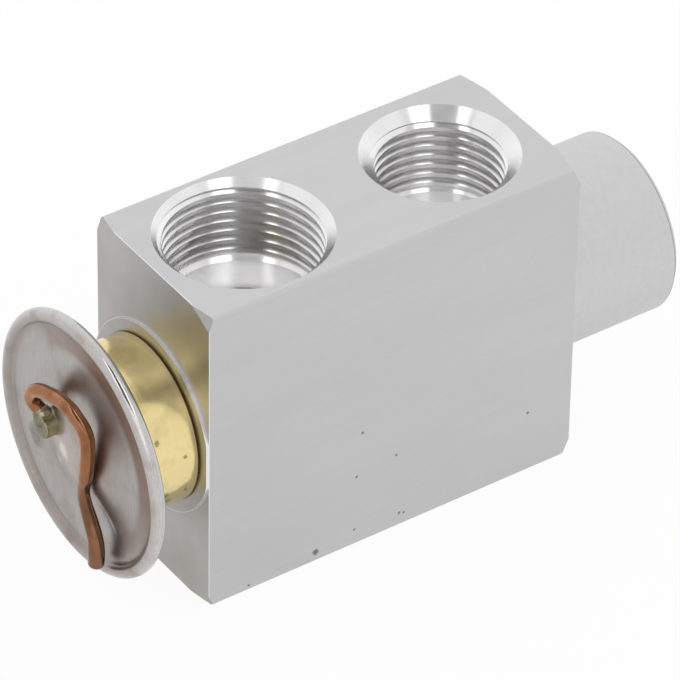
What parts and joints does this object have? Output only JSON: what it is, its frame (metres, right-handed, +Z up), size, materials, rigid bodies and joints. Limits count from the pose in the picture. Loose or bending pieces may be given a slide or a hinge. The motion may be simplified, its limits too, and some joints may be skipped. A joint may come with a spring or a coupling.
{
  "type": "expansion valve",
  "caption": "Block type refrigerant expansion valve: aluminium bar with threaded ports through its height, spring boss at one end, brass necked diaphragm head with a charge tube at the other.",
  "frame": {"origin": "middle of the bar's lower port face, which it lies on, half way along the bar without its boss and head", "axes": "+X along the bar from the power head to the spring boss, +Z up out of the upper ports, Y across the bar"},
  "size_m": [0.1094, 0.0448, 0.0572],
  "materials": {
    "block_aluminium": "satin, drawn along the bar, with shiny machined ports",
    "neck_brass": "polished, lightly stained",
    "head_steel": "bright stamped sheet with brown heat tint",
    "tube_copper": "drawn copper, dulled",
    "braze": "dull braze",
    "inner_steel": "ground",
    "inner_brass": "turned",
    "inner_aluminium": "turned",
    "seal_rubber": "moulded"
  },
  "bodies": {
    "valve_body": {"valve_block": "block_aluminium", "head_neck": "neck_brass", "head_base": "head_steel", "head_cover": "head_steel", "diaphragm": "inner_steel", "charge_tube": "tube_copper", "tube_collar": "braze", "head_seal": "seal_rubber", "rod_seal": "seal_rubber", "seal_retainer": "inner_brass", "valve_spring": "inner_steel"},
    "valve_train": {"thrust_pad": "inner_aluminium", "sensing_stem": "inner_aluminium", "push_rod": "inner_steel", "valve_ball": "inner_steel", "ball_carrier": "inner_brass", "damping_ring": "inner_steel"},
    "spring_seat_body": {"spring_seat": "inner_steel"},
    "screw_body": {"adjusting_screw": "inner_brass", "screw_seal": "seal_rubber"}
  },
  "joints": [
    {"name": "valve_stroke", "type": "slide", "parent": "valve_body", "child": "valve_train", "axis": [1, 0, 0], "range_m": [0, 0.0008], "stiffness_N_per_m": 8000, "springref_m": -0.002, "deforming": ["valve_spring"]},
    {"name": "adjust_travel", "type": "slide", "parent": "valve_body", "child": "spring_seat_body", "axis": [1, 0, 0], "range_m": [-0.0015, 0.0015], "deforming": ["valve_spring"]},
    {"name": "adjust_turn", "type": "hinge", "parent": "spring_seat_body", "child": "screw_body", "pos_m": [0.04, 0, 0.0286], "axis": [1, 0, 0], "range_deg": [-362, 362]}
  ],
  "couplings": [
    {"joint": "adjust_turn", "follows": "adjust_travel", "rad_per_m": 4188.8}
  ]
}
